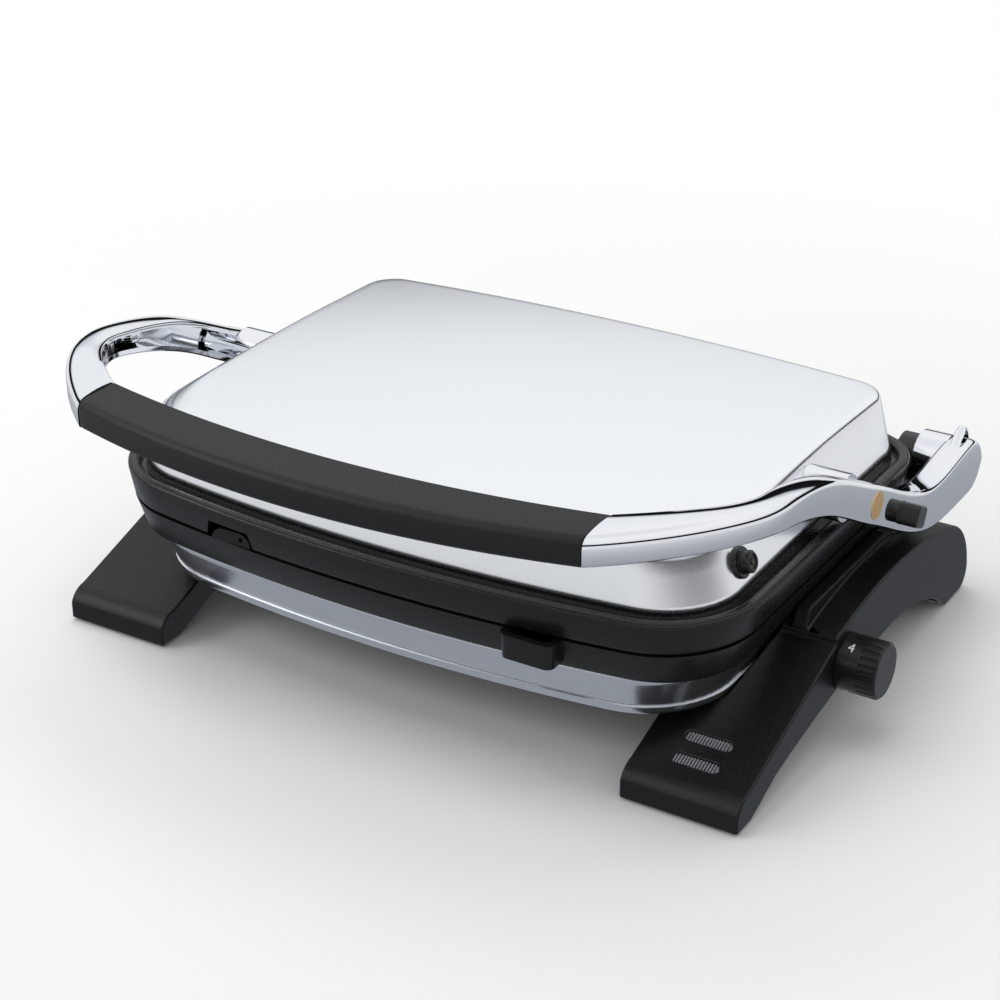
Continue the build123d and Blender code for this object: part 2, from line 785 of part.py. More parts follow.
# Right arm: a die casting with a smooth outer face, hollow towards the lid
with BuildPart() as arm_pocket:
    extrude(arm_side(arm_wall), amount=arm_outer - arm_wall)
    with BuildSketch(plan):
        with Locations((hub_inner - 5, arm_bend_start)):
            Rectangle(60, hinge_y - arm_bend_start, align=(Align.MIN, Align.MIN))
    extrude(amount=grip_top + 20, mode=Mode.INTERSECT)
    with BuildSketch(side.offset(hub_inner - 6)):
        with Locations((hinge_y, hinge_z)):
            Circle(hub_radius - hub_wall)
    extrude(amount=arm_outer - arm_wall - hub_inner + 6)
with BuildPart() as arm:
    extrude(arm_plan(0), amount=grip_top + 20)
    extrude(arm_side(0), amount=arm_outer + 5, mode=Mode.INTERSECT)
    with BuildSketch(side.offset(hub_inner)):
        with Locations((hinge_y, hinge_z)):
            Circle(hub_radius)
    extrude(amount=hub_reach)
    add(arm_pocket.part, mode=Mode.SUBTRACT)
    bush_radius = hinge_pin_radius + run_gap + bush_wall
    with BuildSketch(side.offset(hub_inner + 2)):
        with Locations((hinge_y, hinge_z)):
            Circle(bush_radius + 2.5)
    extrude(amount=hub_reach - 2 - arm_wall)
    with BuildSketch(side.offset(arm_inner)):
        with Locations((pivot_y, pivot_z)):
            Circle(pivot_boss_radius)
        with Locations((lock_y, lock_z)):
            Circle(lock_collar_radius + 1.5)
    extrude(amount=arm_thick - arm_wall)
    with BuildSketch(side.offset(hub_inner)):
        with Locations((hinge_y, hinge_z)):
            Circle(bush_radius)
    extrude(amount=hub_reach - arm_wall, mode=Mode.SUBTRACT)
    with BuildSketch(side.offset(arm_inner)):
        with Locations((pivot_y, pivot_z)):
            Circle(pivot_radius + screw_gap)
        with Locations((lock_y, lock_z)):
            Circle(lock_shaft_radius + run_gap)
    extrude(amount=arm_thick, mode=Mode.SUBTRACT)
    with BuildSketch(side.offset(arm_outer)):
        with Locations((pivot_y, pivot_z)):
            Circle(pivot_head_radius + screw_gap)
    extrude(amount=-pivot_head_depth, mode=Mode.SUBTRACT)
    with BuildSketch(side.offset(arm_inner)):
        with Locations((lock_y, lock_z)):
            Circle(lock_collar_radius - 0.6)
    extrude(amount=arm_thick - arm_wall, mode=Mode.SUBTRACT)
    add(core.part, mode=Mode.SUBTRACT)
    add(grip_screw_form(screw_gap), mode=Mode.SUBTRACT)
    with BuildSketch(side.offset(arm_outer - 9)):
        with Locations((hinge_y + 2, hinge_z + hub_radius + 2)):
            Rectangle(4, 9)
    extrude(amount=4)
hand_sides(arm.part, "arm")

with BuildPart() as hub_bush:
    with BuildSketch(side.offset(hub_inner)):
        with Locations((hinge_y, hinge_z)):
            Circle(bush_radius)
            Circle(hinge_pin_radius + run_gap, mode=Mode.SUBTRACT)
    extrude(amount=hub_reach - arm_wall)
hand_sides(hub_bush.part, "hub_bush")

# Lid pivot: a slotted brass screw through the arm into the chromed boss of the lid
with BuildPart() as pivot_screw:
    with BuildSketch(side.offset(rim_half - 4)):
        with Locations((pivot_y, pivot_z)):
            Circle(pivot_radius)
    extrude(amount=arm_outer - rim_half + 4 - pivot_head_depth)
    with BuildSketch(side.offset(arm_outer - pivot_head_depth)):
        with Locations((pivot_y, pivot_z)):
            Circle(pivot_head_radius)
    extrude(amount=pivot_head_depth + 0.3)
    with BuildSketch(side.offset(arm_outer + 0.3)):
        with Locations((pivot_y, pivot_z)):
            Rectangle(1.4, 4 * pivot_head_radius, rotation=-10)
    extrude(amount=-1.3, mode=Mode.SUBTRACT)
hand_sides(pivot_screw.part, "pivot_screw")

with BuildPart() as pivot_boss:
    with BuildSketch(side.offset(lid_top_half)):
        with Locations((pivot_y, pivot_z)):
            Circle(pivot_boss_radius + 3)
    extrude(amount=arm_inner - fit_gap - lid_top_half)
    add(lid_form.part, mode=Mode.SUBTRACT)
    with BuildSketch(side.offset(rim_half - 4 - 1)):
        with Locations((pivot_y, pivot_z)):
            Circle(pivot_radius + run_gap)
    extrude(amount=arm_thick * 2, mode=Mode.SUBTRACT)
hand_sides(pivot_boss.part, "pivot_boss")

with BuildPart() as stop_peg:
    with BuildSketch(side.offset(lid_top_half)):
        with Locations((peg_y, peg_z)):
            Circle(peg_flange_radius)
    extrude(amount=rim_half - lid_inset - lid_top_half)
    with BuildSketch(side.offset(rim_half - lid_inset)):
        with Locations((peg_y, peg_z)):
            Circle(peg_radius)
    extrude(amount=peg_length - peg_flange)
    with BuildSketch(side.offset(rim_half - lid_inset + peg_length - peg_flange)):
        with Locations((peg_y, peg_z)):
            Rectangle(1.4, 4 * peg_radius)
    extrude(amount=-1.6, mode=Mode.SUBTRACT)
    add(lid_form.part, mode=Mode.SUBTRACT)
hand_sides(stop_peg.part, "stop_peg")

# Lock: a sprung plunger that is pulled out to free the lid
with BuildPart() as lock_plunger:
    with BuildSketch(side.offset(arm_inner)):
        with Locations((lock_y, lock_z)):
            Circle(lock_shaft_radius)
    extrude(amount=arm_thick + 1)
    with BuildSketch(side.offset(arm_inner)):
        with Locations((lock_y, lock_z)):
            Circle(lock_collar_radius - 1.2)
    extrude(amount=1.5)
    with BuildSketch(side.offset(arm_outer + fit_gap)):
        with Locations((lock_y, lock_z)):
            Circle(lock_collar_radius)
    extrude(amount=lock_collar_length)
    with BuildSketch(side.offset(arm_outer + lock_collar_length)):
        with Locations((lock_y, lock_z)):
            RectangleRounded(12, 10.5, 2.5, rotation=-25)
    extrude(amount=lock_reach - lock_collar_length)
    fillet(lock_plunger.faces().sort_by(Axis.X)[-1].edges(), 1.2)
hand_sides(lock_plunger.part, "lock_plunger")

spring_room = arm_thick - arm_wall - 1.5 - 2 * fit_gap
with BuildPart() as lock_spring:
    with BuildSketch(side.offset(arm_inner + 1.5 + fit_gap)):
        with Locations((lock_y, lock_z)):
            Circle(lock_collar_radius - 1.1)
            Circle(lock_collar_radius - 1.1 - spring_wire, mode=Mode.SUBTRACT)
    extrude(amount=spring_room)
hand_sides(lock_spring.part, "lock_spring")

with BuildPart() as grip_screws:
    add(grip_screw_form(0))
    mirror(about=Plane.YZ)
save(grip_screws.part, "grip_screws")

# Grip: a soft black moulding over the core
with BuildPart() as grip:
    extrude(grip_plan(grip_depth, grip_reach, grip_half - fit_gap), amount=grip_top)
    with BuildSketch(plan.offset(grip_bottom)):
        Rectangle(500, 500)
    extrude(amount=grip_height, mode=Mode.INTERSECT)
    fillet(grip.edges().group_by(Axis.Z)[-1].sort_by(Axis.Y)[0], 3)
    add(core.part, mode=Mode.SUBTRACT)
save(grip.part, "grip")
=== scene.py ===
# %% [markdown]
# A countertop contact grill, dressed for its portrait
#
# The construction comes in finished: every piece has its place, its joints and its size.
# What is left to Blender is how the pieces look. Three steps do most of it: light that a
# mirror can reflect, finishes that are made of nodes, and fresh meshes for the pressed,
# cast and moulded forms whose reflections need long, even faces.

# %% The frame that everything is built on
import json
from math import asin, cos, pi, radians, sin, sqrt

import bmesh
import bpy
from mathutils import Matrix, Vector


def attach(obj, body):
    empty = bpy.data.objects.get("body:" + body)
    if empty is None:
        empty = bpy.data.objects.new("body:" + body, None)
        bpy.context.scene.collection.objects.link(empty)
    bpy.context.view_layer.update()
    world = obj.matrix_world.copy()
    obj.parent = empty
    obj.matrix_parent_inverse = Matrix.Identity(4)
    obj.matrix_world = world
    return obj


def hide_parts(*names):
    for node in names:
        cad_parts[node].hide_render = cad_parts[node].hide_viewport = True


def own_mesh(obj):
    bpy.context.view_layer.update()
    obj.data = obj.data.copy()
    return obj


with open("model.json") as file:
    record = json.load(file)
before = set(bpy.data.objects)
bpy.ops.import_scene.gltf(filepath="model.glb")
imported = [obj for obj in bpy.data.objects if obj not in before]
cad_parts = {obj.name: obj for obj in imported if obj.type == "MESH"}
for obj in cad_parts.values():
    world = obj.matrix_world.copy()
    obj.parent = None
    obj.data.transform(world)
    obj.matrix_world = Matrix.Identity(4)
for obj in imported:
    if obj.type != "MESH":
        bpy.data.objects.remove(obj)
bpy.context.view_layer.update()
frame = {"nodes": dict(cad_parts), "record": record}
record = frame["record"]
slot_of = {part["node"]: part["material_slot"] for part in record["subparts"]}
body_of = {node: body for body, nodes in record["behaviour"]["bodies"].items()
           for node in nodes}

# %% [markdown]
# Lengths are easier to read in millimetres, and Blender counts in metres here, so one
# factor turns them. Depths count backwards from the line of the front feet, which lies
# 105.5 mm in front of the middle of the grill. The hinge, the lid's pivot and the lock are
# axes that run from side to side, each given by its depth and height. The grip's front
# and back are arcs, each given by the depths of its ends and of its middle.

# %% Millimetres and places
MM = 0.001
front_line = -105.5
arm_inner, arm_outer = 170, 184
hinge = (257, 70)
lid_pivot = (133, 102)
lock = (147.5, 94)
front_arc, back_arc = (-42.5, -60.5), (-16.5, -31.5)


def at(across, depth, height):
    """A point of the frame from millimetres: across, back from the front feet, and up."""
    return Vector((across, depth + front_line, height)) * MM


def spread(start, stop, steps):
    """Evenly spaced values from start to stop, both included."""
    return [start + (stop - start) * step / steps for step in range(steps + 1)]


# %% [markdown]
# The camera stands a little over a metre away, to the right of the grill and above it, as
# a product photographer would. Its lens is long, so that the sides stay nearly parallel.

# %% Camera
camera = bpy.data.objects.new("camera", bpy.data.cameras.new("camera"))
camera.data.lens = 84.26
camera.data.sensor_width = 36
camera.location = (0.5280, -0.8673, 0.5732)
camera.rotation_euler = (radians(63.598), 0, radians(31.242))
bpy.context.scene.collection.objects.link(camera)
bpy.context.scene.camera = camera
bpy.context.scene.view_settings.view_transform = "Standard"

# %% [markdown]
# Every finish is a small network of nodes. One function adds a node with its options and
# fills its inputs, from a number, a colour or the output of another node. Colours are
# written as hex codes, the way a paint shop writes them, and one function turns them into
# the linear values that light is computed in.

# %% Node and colour helpers
def linear(code):
    """A hex colour as linear red, green, blue and alpha."""
    shares = [int(code[place:place + 2], 16) / 255 for place in (0, 2, 4)]
    return (*[s / 12.92 if s <= 0.04045 else ((s + 0.055) / 1.055) ** 2.4 for s in shares], 1)


def add_node(owner, kind, inputs, **options):
    """Add a node, set its options, and set or link its inputs."""
    tree = owner.node_tree
    node = tree.nodes.new(kind)
    for option, value in options.items():
        setattr(node, option, value)
    for name, value in inputs.items():
        if isinstance(value, bpy.types.NodeSocket):
            tree.links.new(value, node.inputs[name])
        else:
            node.inputs[name].default_value = value
    return node


# %% [markdown]
# A mirror has no colour of its own: chrome looks like chrome only when there is something
# to see in it. The room here is white, and for reflections alone it has a dark band near
# the horizon and a faint grey overhead, which draw the black streaks and the gradients on
# bright metal. The camera sees plain white.

# %% The room's light
world = bpy.data.worlds.new("studio")
world.use_nodes = True
bpy.context.scene.world = world
world.node_tree.nodes.clear()
heading = add_node(world, "ShaderNodeTexCoord", {}).outputs["Generated"]
split = add_node(world, "ShaderNodeSeparateXYZ", {"Vector": heading})
height = add_node(world, "ShaderNodeMapRange", {
    "Value": split.outputs["Z"], "From Min": -1.0, "From Max": 1.0})
band = add_node(world, "ShaderNodeValToRGB", {"Fac": height.outputs["Result"]})
band.color_ramp.interpolation = "EASE"
stops = ((0.0, "F4F4F4"), (0.495, "F4F4F4"), (0.515, "101012"), (0.60, "18181A"),
         (0.625, "D0D3D8"), (0.66, "F6F8FA"), (0.90, "FFFFFF"), (1.0, "F0F2F5"))
while len(band.color_ramp.elements) < len(stops):
    band.color_ramp.elements.new(0.5)
for element, (where, code) in zip(band.color_ramp.elements, stops):
    element.position = where
    element.color = linear(code)
rays = add_node(world, "ShaderNodeLightPath", {})
room_level, mirror_level = 0.62, 1.08
plain = add_node(world, "ShaderNodeBackground", {"Color": linear("FFFFFF"),
                                                "Strength": room_level})
seen = add_node(world, "ShaderNodeBackground", {"Color": linear("FFFFFF"), "Strength": 1.0})
mirrored = add_node(world, "ShaderNodeBackground", {"Color": band.outputs["Color"],
                                                   "Strength": mirror_level})
with_mirror = add_node(world, "ShaderNodeMixShader", {
    0: rays.outputs["Is Glossy Ray"], 1: plain.outputs[0], 2: mirrored.outputs[0]})
with_camera = add_node(world, "ShaderNodeMixShader", {
    0: rays.outputs["Is Camera Ray"], 1: with_mirror.outputs[0], 2: seen.outputs[0]})
add_node(world, "ShaderNodeOutputWorld", {"Surface": with_camera.outputs[0]})

# %% [markdown]
# A broad softbox over the grill casts the pale shadow on the table. A second one, low on
# the left, draws a soft light along the rounded edges of the black mouldings and keeps
# them from sinking into one dark shape.

# %% Softboxes
def softbox(name, place, size, power, mirrored):
    """A square area lamp that looks at the grill; mirrored says if a gloss shows it."""
    aim = Vector((0, 0, 0.05))
    lamp = bpy.data.objects.new(name, bpy.data.lights.new(name, "AREA"))
    lamp.data.shape = "SQUARE"
    lamp.data.size = size
    lamp.data.energy = power
    lamp.location = place
    lamp.rotation_euler = (aim - Vector(place)).to_track_quat("-Z", "Y").to_euler()
    lamp.visible_glossy = mirrored
    bpy.context.scene.collection.objects.link(lamp)


softbox("softbox_over", (-0.35, 0.25, 1.7), size=1.3, power=13, mirrored=False)
softbox("softbox_left", (-1.1, -1.0, 0.9), size=0.8, power=5, mirrored=True)
print("softboxes: 2")

# %% [markdown]
# The table is a wide white sheet. Close to the grill it is a real surface that takes the
# shadow; further out it melts into the white room, which is done on the material by
# distance, so no horizon line shows. In mirrors the table is a glow with a painted shadow:
# grey close to the grill and pale further out.

# %% Table
table_mesh = bpy.data.meshes.new("table")
bm = bmesh.new()
bmesh.ops.create_grid(bm, x_segments=2, y_segments=2, size=6)
bm.to_mesh(table_mesh)
bm.free()
table = bpy.data.objects.new("table", table_mesh)
bpy.context.scene.collection.objects.link(table)

sheet = bpy.data.materials.new("white_paper_sweep")
sheet.use_nodes = True
sheet.node_tree.nodes.clear()
where = add_node(sheet, "ShaderNodeTexCoord", {}).outputs["Object"]
distance = add_node(sheet, "ShaderNodeVectorMath", {0: where}, operation="LENGTH")
fade = add_node(sheet, "ShaderNodeMapRange", {
    "Value": distance.outputs["Value"], "From Min": 0.30, "From Max": 0.75},
    interpolation_type="SMOOTHSTEP")
paths = add_node(sheet, "ShaderNodeLightPath", {})
melt = add_node(sheet, "ShaderNodeMath", {
    0: paths.outputs["Is Camera Ray"], 1: fade.outputs["Result"]}, operation="MULTIPLY")
paper = add_node(sheet, "ShaderNodeBsdfDiffuse", {"Color": linear("F6F6F6")})
bright = add_node(sheet, "ShaderNodeEmission", {"Color": linear("FFFFFF"), "Strength": 1.0})
# Painted shadow: mirrors see the table as a glow that is grey close to the grill and pale
# further out, standing in for the grill's shadow on it.
painted_shadow_ramp = add_node(sheet, "ShaderNodeValToRGB", {"Fac": fade.outputs["Result"]})
painted_shadow_ramp.color_ramp.elements[0].color = linear("A4A8AF")
painted_shadow_ramp.color_ramp.elements[1].color = linear("F2F3F5")
painted_shadow_glow = add_node(sheet, "ShaderNodeEmission", {"Color": painted_shadow_ramp.outputs["Color"]})
open_sheet = add_node(sheet, "ShaderNodeMixShader", {
    0: melt.outputs[0], 1: paper.outputs[0], 2: bright.outputs[0]})
surface = add_node(sheet, "ShaderNodeMixShader", {
    0: paths.outputs["Is Glossy Ray"], 1: open_sheet.outputs[0], 2: painted_shadow_glow.outputs[0]})
add_node(sheet, "ShaderNodeOutputMaterial", {"Surface": surface.outputs[0]})
table.data.materials.append(sheet)
print("the table is laid")

# %% [markdown]
# All finishes are made alike: a base, and a grain that roughens the gloss and lifts the
# surface a little. The grain's size is given in millimetres, along and across, so that a
# brushed sheet gets long streaks and a spark-eroded mould gets round pits. Where a finish
# has two shades, its colour wanders between them with the grain.

# %% One maker for every finish
def make_finish(name, shades, metallic, sizes, gloss, relief, specular=0.5):
    """A material from its shades, metal share, and the size, gloss and relief of its grain."""
    material = bpy.data.materials.new(name)
    material.use_nodes = True
    shader = material.node_tree.nodes["Principled BSDF"]
    link = material.node_tree.links.new
    shader.inputs["Metallic"].default_value = metallic
    shader.inputs["Specular IOR Level"].default_value = specular
    shader.inputs["Base Color"].default_value = linear(shades[0])

    place = add_node(material, "ShaderNodeTexCoord", {}).outputs["Object"]
    scaled = add_node(material, "ShaderNodeMapping", {
        "Vector": place, "Scale": [1 / (size * MM) for size in sizes]})
    noise = add_node(material, "ShaderNodeTexNoise", {
        "Vector": scaled.outputs["Vector"], "Scale": 1.0, "Detail": 3.0, "Roughness": 0.6})
    ranged = add_node(material, "ShaderNodeMapRange", {
        "Value": noise.outputs["Fac"], "From Min": 0.3, "From Max": 0.7,
        "To Min": gloss[0], "To Max": gloss[1]})
    link(ranged.outputs["Result"], shader.inputs["Roughness"])
    bump = add_node(material, "ShaderNodeBump", {
        "Height": noise.outputs["Fac"], "Strength": 0.5, "Distance": relief * MM})
    link(bump.outputs["Normal"], shader.inputs["Normal"])
    if len(shades) > 1:
        ramp = add_node(material, "ShaderNodeValToRGB", {"Fac": noise.outputs["Fac"]})
        for element, where, code in zip(ramp.color_ramp.elements, (0.3, 0.7), shades):
            element.position = where
            element.color = linear(code)
        link(ramp.outputs["Color"], shader.inputs["Base Color"])
    return material


# %% [markdown]
# Bright metals. The lid and the pan are pressed from stainless sheet with a satin finish:
# very fine lines run from side to side, too fine to see singly, and they only soften the
# reflection. The arms are zinc castings under a mirror coat of chromium, which shows the
# slight unevenness that polishing leaves.

# %% Metals
finishes = {
    # Satin stainless sheet: soft, nearly white reflections drawn out across the lines
    "satin_lid": make_finish("satin_stainless_lid", ("ECEEF1", "EFF1F3"), 1.0,
                             (80, 0.8, 0.8), (0.19, 0.23), 0.0004),
    # The same sheet on the pan, a little darker and less polished
    "satin_steel": make_finish("satin_stainless_pan", ("D6D9DE", "DCDFE3"), 1.0,
                               (80, 1.2, 1.2), (0.22, 0.26), 0.0003),
    # Chromium plate over polished zinc: a mirror with faint waves left by the polishing wheel
    "chrome": make_finish("chromium_plate", ("E4E6EA",), 1.0,
                          (12, 12, 12), (0.03, 0.05), 0.004),
    # Turned brass, faced on the lathe
    "brass": make_finish("turned_brass", ("DEB47A", "E8C48E"), 1.0,
                         (3, 0.9, 0.9), (0.36, 0.46), 0.004),
    # Drawn tube of the heating element, dulled by heat
    "heater_tube": make_finish("heat_dulled_tube", ("7E7B77", "969491"), 1.0,
                               (3, 3, 3), (0.36, 0.5), 0.02),
    # Bright zinc-coated sheet, with the faint cloudiness of its spangle
    "zinc_sheet": make_finish("zinc_coated_sheet", ("AEB1B6", "C3C6CA"), 1.0,
                              (6, 6, 6), (0.26, 0.4), 0.01),
}
print("metals:", len(finishes))

# %% [markdown]
# Dark parts. The plates are cast aluminium under a sprayed non-stick coat, whose fine
# orange peel scatters a soft sheen. The legs and knobs are moulded in a black
# thermoplastic, and their moulds were spark-eroded, which leaves a pitted grain. The grip
# is softer to the touch, and duller.

# %% Coats, mouldings and rubber
finishes |= {
    # Sprayed non-stick coat: charcoal grey, with a fine orange peel
    "nonstick_casting": make_finish("sprayed_nonstick_coat", ("101011", "1A1A1B"), 0.0,
                                    (1.2, 1.2, 1.2), (0.22, 0.36), 0.12, specular=0.36),
    # Moulded black thermoplastic with a spark-eroded grain
    "black_plastic": make_finish("grained_black_moulding", ("0E0E0F", "161617"), 0.0,
                                 (1.0, 1.0, 1.0), (0.30, 0.50), 0.30, specular=0.32),
    # Soft-touch moulding of the grip: duller and smoother than the legs
    "soft_black": make_finish("soft_touch_moulding", ("0F0F10", "171718"), 0.0,
                              (1.0, 1.0, 1.0), (0.36, 0.54), 0.22, specular=0.32),
    # Semi-gloss moulding of the knobs, from a polished mould
    "gloss_black": make_finish("polished_black_moulding", ("121213",), 0.0,
                               (1.2, 1.2, 1.2), (0.24, 0.36), 0.02, specular=0.4),
    # Heat-resistant white moulding of the terminal block, slightly chalky
    "white_plastic": make_finish("heat_resistant_white", ("E0DBCF", "EBE8DF"), 0.0,
                                 (1.5, 1.5, 1.5), (0.42, 0.6), 0.03),
    # Moulded rubber of the foot pads and the gland, matte with dust in its pores
    "rubber": make_finish("moulded_rubber", ("1B1B1C", "2B2B2C"), 0.0,
                          (0.6, 0.6, 0.6), (0.6, 0.8), 0.05),
    # Black stove paint on the steel under the grip and in the hinge
    "black_steel": make_finish("black_stove_paint", ("1D1D1F",), 0.0,
                               (2, 2, 2), (0.28, 0.42), 0.03),
    # Grey lens plastic, which lets some light into its ribs
    "lens": make_finish("smoky_lens_plastic", ("9A9DA2",), 0.0,
                        (1.0, 1.0, 1.0), (0.12, 0.24), 0.01),
}
lens_shader = finishes["lens"].node_tree.nodes["Principled BSDF"]
lens_shader.inputs["Transmission Weight"].default_value = 0.15
lens_shader.inputs["IOR"].default_value = 1.49

# White pad-printed ink of the dial's numbers
ink = make_finish("pad_printed_ink", ("F0F0EC",), 0.0, (0.4, 0.4, 0.4), (0.42, 0.58), 0.01)
print("finishes:", sorted(finishes))

# %% [markdown]
# A CAD piece comes in as loose flat triangles with knife-sharp edges. Real edges are
# rounded by the mould or the press, and the thin line of light they catch is what makes
# a part look solid. So a copy of each piece is welded, its flat faces are joined, its
# curved faces are shaded smooth, and a bevel rounds its edges.

# %% Dressing a CAD piece
def settle(bm, name, node, smooth_below=32):
    """Turn a finished bmesh into the piece that a node is shown by, and let it ride along."""
    for face in bm.faces:
        face.smooth = True
    for edge in bm.edges:
        edge.smooth = edge.calc_face_angle(0) < radians(smooth_below)
    mesh = bpy.data.meshes.new(name)
    bm.to_mesh(mesh)
    bm.free()
    piece = bpy.data.objects.new(name, mesh)
    bpy.context.scene.collection.objects.link(piece)
    mesh.materials.append(finishes[slot_of[node]])
    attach(piece, body_of[node])
    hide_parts(node)
    return piece


def welded_copy(node):
    """A copy of a CAD node's mesh with its triangles joined."""
    bm = bmesh.new()
    bm.from_mesh(frame["nodes"][node].data)
    bmesh.ops.remove_doubles(bm, verts=bm.verts, dist=0.002 * MM)
    bmesh.ops.dissolve_limit(bm, angle_limit=radians(0.4), verts=bm.verts, edges=bm.edges)
    return bm


def round_rim(bm, height, width):
    """Round the long edges that lie at one height, as on the rim of a casting."""
    edges = [edge for edge in bm.edges
             if all(abs(vert.co.z - height * MM) < 0.02 * MM for vert in edge.verts)
             and edge.calc_face_angle(0) > radians(40) and edge.calc_length() > 2 * MM]
    bmesh.ops.bevel(bm, geom=edges, offset=width * MM, segments=4, profile=0.5,
                    affect="EDGES", material=-1, clamp_overlap=True)


def dress(node, width, rims=()):
    """Weld and smooth a copy of a CAD node, and round its rims and all its edges."""
    bm = welded_copy(node)
    for height, rounding in rims:
        round_rim(bm, height, rounding)
    bevel = settle(bm, f"{node}_finished", node).modifiers.new("rounded_edges", "BEVEL")
    bevel.width = width * MM
    bevel.segments = 3
    bevel.use_clamp_overlap = width < widest_clamped
    bevel.limit_method = "ANGLE"
    bevel.angle_limit = radians(32)
    bevel.harden_normals = True


# %% [markdown]
# The widths below are what the making leaves: a broad rounding on the legs, half a
# millimetre on castings, and less on turned and cut parts. A bevel is clamped where edges
# lie close together, but not on the legs, whose short facets would clamp it away. The rims
# of the two plates are rounded most, each at the height of its upper and lower edge.

# %% Dressed pieces
widest_clamped, sharpest = 1.0, 0.15
widths = {
    1.2: ("left_leg", "right_leg"),
    0.5: ("lower_plate", "upper_plate", "left_hinge_bracket", "right_hinge_bracket"),
    0.4: ("left_lock_plunger", "right_lock_plunger", "left_pivot_boss", "right_pivot_boss",
          "cord_gland"),
    0.35: ("thermostat_dial",),
    0.3: ("rubber_feet",),
    0.2: ("left_pivot_screw", "right_pivot_screw", "base_screws", "grip_screws", "base_cover"),
}
edge_width = {node: width for width, nodes in widths.items() for node in nodes}
rim_roundings = {"upper_plate": ((88.5, 2.8), (71.8, 2.0)),
                 "lower_plate": ((71.3, 2.0), (55.3, 2.8))}
fresh_nodes = {"lid_shell", "base_housing", "left_arm", "right_arm", "grip", "grip_core",
               "left_stop_peg", "right_stop_peg", "power_lens", "ready_lens"}
for node in slot_of:
    if node not in fresh_nodes:
        dress(node, edge_width.get(node, sharpest), rim_roundings.get(node, ()))
print("dressed:", len(slot_of) - len(fresh_nodes), "to be made afresh:", len(fresh_nodes))

# %% [markdown]
# The plunger's knob is drawn a fifth shorter than its solid, as the photograph shows it.
# It would draw its mirror image across the arm's face, where the satin of a real plated
# face would blur it away, so mirrors don't see it.

# %% Lock plungers
knob_share = 0.8
for side in ("left", "right"):
    plunger = bpy.data.objects[f"{side}_lock_plunger_finished"]
    plunger.visible_glossy = False
    for vert in plunger.data.vertices:
        reach = abs(vert.co.x) - arm_outer * MM
        if reach > 0:
            vert.co.x *= (arm_outer * MM + knob_share * reach) / abs(vert.co.x)
print("knobs shortened to", knob_share)

# %% [markdown]
# Each plunger is held by a spring between its inner flange and the arm's wall. Each spring
# here is only given a mesh of its own.

# %% Lock springs
for side, way in (("left", -1), ("right", 1)):
    spring = bpy.data.objects[f"{side}_lock_spring_finished"]
    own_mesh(spring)

# %% [markdown]
# The lid and the pan share one kind of outline: a front that bows out on a wide arc,
# straight sides, and rounded corners that are broader in front. It is worked out once, as
# a ring of points, and rings at different heights are bridged into a skin. Bridging gives
# long, even faces, and those give the calm reflections of a pressed sheet. The skin then
# gets the thickness of its sheet from a modifier.

# %% Outline of the pressed parts
bow_radius, sheet_thickness = 800, 1.5


def tray(half, lead, tail, corner, rear_corner):
    """Plan outline in millimetres, counter-clockwise from the middle of the front."""
    reach = bow_radius - corner
    swing = asin((half - corner) / reach)
    bow = Vector((0, lead + bow_radius))
    hub = Vector((half - corner, bow.y - reach * cos(swing)))
    rear = Vector((half - rear_corner, tail - rear_corner))

    def turn(centre, radius, angles):
        return [centre + radius * Vector((sin(a), -cos(a))) for a in angles]

    right = turn(bow, bow_radius, spread(0, swing, 10))
    right += turn(hub, corner, spread(swing, pi / 2, 12))[1:]
    right += [Vector((half, y)) for y in spread(hub.y, rear.y, 8)][1:]
    right += turn(rear, rear_corner, spread(pi / 2, pi, 10))[1:]
    right += [Vector((x, tail)) for x in spread(rear.x, 0, 10)][1:]
    return right + [Vector((-p.x, p.y)) for p in reversed(right[1:-1])]


def add_ring(bm, points):
    """A closed loop of edges through points given in metres."""
    verts = [bm.verts.new(point) for point in points]
    return [bm.edges.new(pair) for pair in zip(verts, verts[1:] + verts[:1])]


def bridge(bm, rings):
    """Join each ring to the next with faces."""
    for low, high in zip(rings, rings[1:]):
        bmesh.ops.bridge_loops(bm, edges=low + high)


def close_ends(bm, rings):
    """Put a flat face in the first ring and in the last."""
    for end in (rings[0], rings[-1]):
        bmesh.ops.contextual_create(bm, geom=end)


def thicken(piece):
    """Give a skin the thickness of its sheet, inwards."""
    wall = piece.modifiers.new("sheet", "SOLIDIFY")
    wall.thickness = sheet_thickness * MM
    wall.offset = -1


# %% [markdown]
# The lid is one pressing. Its sides lean inwards and its top is slightly crowned, like a
# piece cut from a very large ball. The crease where the two meet is found by walking up
# the side until it meets the crown.

# %% Sides, crown and crease of the lid
lid_low, lid_rise = 85.1, 41.8
crown_top, crown_radius, crown_depth = 121.9, 2600, 115


def lid_side(share):
    """Outline of the lid's side, from its skirt at 0 to its full height at 1."""
    def between(low, high):
        return low + (high - low) * share

    return tray(between(159.3, 143.8), between(0.2, 8), between(229.8, 231),
                between(42, 32), between(22, 13))


def crown(point):
    """Height of the crowned top over a plan point."""
    return crown_top - (point.x**2 + (point.y - crown_depth)**2) / (2 * crown_radius)


steps_up = 60
sides = [lid_side(share) for share in spread(0, 1, steps_up)]
heights = spread(lid_low, lid_low + lid_rise, steps_up)
crease = []
for column in zip(*sides):
    over = [height - crown(point) for height, point in zip(heights, column)]
    step = next(i for i, value in enumerate(over) if value > 0)
    part = over[step] / (over[step] - over[step - 1])
    crease.append((column[step].lerp(column[step - 1], part), (step - part) / steps_up))
print("points along the crease:", len(crease))

# %% [markdown]
# The crease is crisp along the back and softer towards the front. Four rings climb the
# side, eight more turn over the crease on a curve, and the last eight shrink towards the
# middle of the crown.

